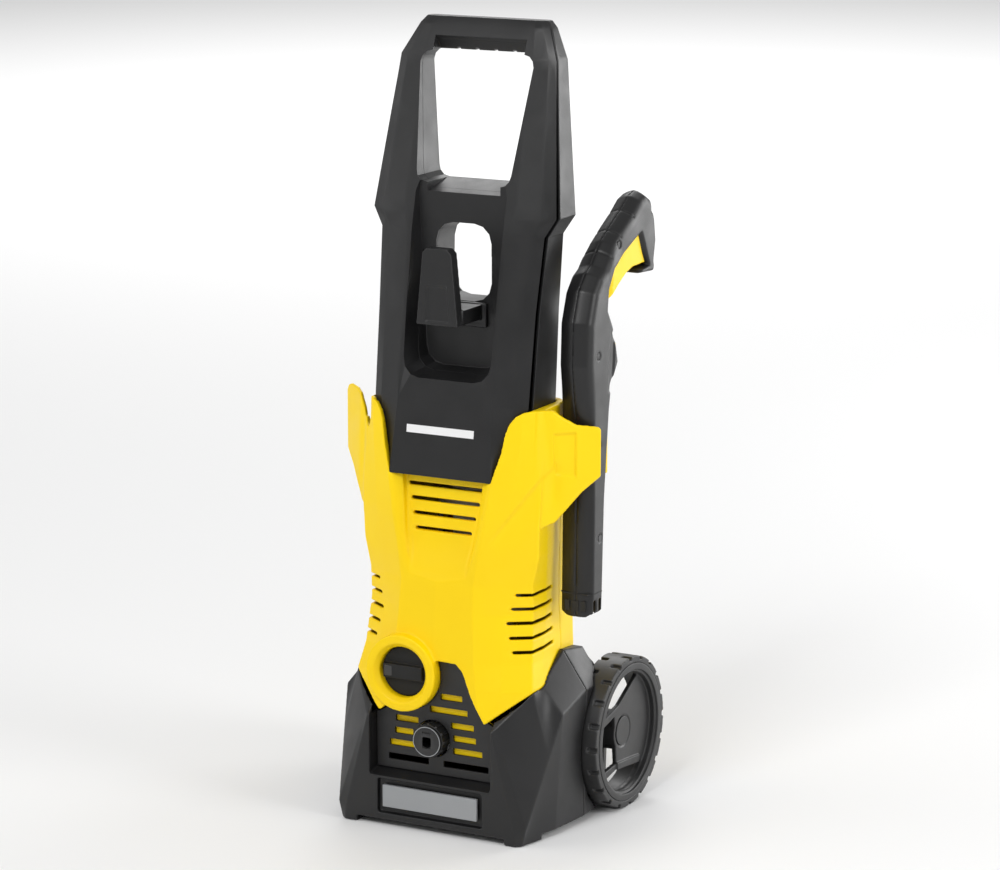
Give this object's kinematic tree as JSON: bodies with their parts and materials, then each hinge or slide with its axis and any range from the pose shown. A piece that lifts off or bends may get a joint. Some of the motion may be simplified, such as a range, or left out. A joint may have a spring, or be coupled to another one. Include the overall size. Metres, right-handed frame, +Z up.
{
  "type": "pressure washer",
  "caption": "Upright electric pressure washer on two wheels, with a tall carrying handle, hose hook, motor and piston pump, and a trigger gun parked in a side cradle.",
  "frame": {"origin": "on the floor, midway between the outermost faces in X and in Y", "axes": "+Z up; -Y is the front with the switch and the hose outlet; +X is the side that carries the trigger gun"},
  "size_m": [0.243, 0.2146, 0.677],
  "materials": {
    "black_plastic": "fine textured moulding",
    "yellow_plastic": "smooth satin moulding",
    "charcoal_plastic": "fine textured moulding",
    "grey_plastic": "satin silver-grey moulding",
    "wheel_plastic": "fine textured moulding",
    "tyre_rubber": "matt rubber",
    "rubber": "matt rubber",
    "steel": "machined",
    "laminated_steel": "stacked sheet",
    "aluminium": "die cast",
    "brass": "machined",
    "copper": "enamelled winding wire",
    "carbon": "pressed carbon",
    "white_plastic": "plain moulding"
  },
  "bodies": {
    "frame": {"tower_front": "black_plastic", "tower_rear": "black_plastic", "shell_screws": "steel", "hose_hook": "black_plastic", "front_cover": "yellow_plastic", "rear_cover": "yellow_plastic", "base_housing": "black_plastic", "foot_pads": "rubber", "base_rear": "black_plastic", "front_grille": "charcoal_plastic", "splash_shield": "yellow_plastic", "grip_bar": "grey_plastic", "rotary_switch": "white_plastic", "capacitor": "aluminium", "outlet_connector": "brass", "water_inlet": "white_plastic", "inlet_filter": "white_plastic", "cable_gland": "black_plastic", "wheel_axle": "steel", "axle_retainers": "steel", "pump_block": "aluminium", "pump_valves": "brass", "pistons": "steel", "piston_seals": "rubber", "piston_springs": "steel", "gearbox_housing": "aluminium", "swash_bearing": "steel", "pump_bolts": "steel", "bypass_valve": "brass", "motor_frame": "white_plastic", "motor_bearings": "steel", "motor_stator": "laminated_steel", "field_coils": "copper", "carbon_brushes": "carbon", "brush_holders": "copper"},
    "switch": {"switch_knob": "black_plastic"},
    "left_wheel": {"left_wheel": "wheel_plastic", "left_tyre": "tyre_rubber", "left_hub_cap": "wheel_plastic"},
    "right_wheel": {"right_wheel": "wheel_plastic", "right_tyre": "tyre_rubber", "right_hub_cap": "wheel_plastic"},
    "rotor": {"motor_shaft": "steel", "drive_pinion": "steel", "rotor_core": "laminated_steel", "commutator": "copper", "cooling_fan": "white_plastic"},
    "swash": {"driven_gear": "steel", "swash_plate": "steel", "thrust_bearing": "steel"},
    "collar": {"outlet_collar": "black_plastic"},
    "gun": {"gun_left_shell": "black_plastic", "gun_right_shell": "black_plastic", "trigger_pin": "steel", "trigger_spring": "steel", "gun_valve": "brass", "lance_socket": "brass", "gun_screws": "steel"},
    "trigger": {"gun_trigger": "yellow_plastic"},
    "lock": {"gun_lock": "yellow_plastic"}
  },
  "joints": [
    {"name": "switch_turn", "type": "hinge", "parent": "frame", "child": "switch", "pos_m": [-0.0285, -0.1, 0.1355], "axis": [0, 1, 0], "range_deg": [0, 90]},
    {"name": "left_wheel_spin", "type": "hinge", "parent": "frame", "child": "left_wheel", "pos_m": [-0.1, 0.0414, 0.0659], "axis": [1, 0, 0], "continuous": true},
    {"name": "right_wheel_spin", "type": "hinge", "parent": "frame", "child": "right_wheel", "pos_m": [0.1, 0.0414, 0.0659], "axis": [1, 0, 0], "continuous": true},
    {"name": "rotor_spin", "type": "hinge", "parent": "frame", "child": "rotor", "pos_m": [0, -0.005, 0.2], "axis": [0, 0, 1], "continuous": true},
    {"name": "swash_spin", "type": "hinge", "parent": "frame", "child": "swash", "pos_m": [0, -0.04, 0.15], "axis": [0, 0, 1], "continuous": true},
    {"name": "collar_push", "type": "slide", "parent": "frame", "child": "collar", "axis": [0, 1, 0], "range_m": [0, 0.003], "stiffness_N_per_m": 500},
    {"name": "gun_lift", "type": "slide", "parent": "frame", "child": "gun", "axis": [0.0598, 0.0399, 0.9974], "range_m": [0, 0.19]},
    {"name": "trigger_pull", "type": "hinge", "parent": "gun", "child": "trigger", "pos_m": [0.1, -0.008, 0.452], "axis": [1, 0, 0], "range_deg": [0, 7], "stiffness_Nm_per_rad": 1},
    {"name": "lock_slide", "type": "slide", "parent": "gun", "child": "lock", "axis": [0, -1, 0], "range_m": [0, 0.004]}
  ],
  "couplings": [
    {"joint": "swash_spin", "follows": "rotor_spin", "ratio": -0.33333}
  ]
}
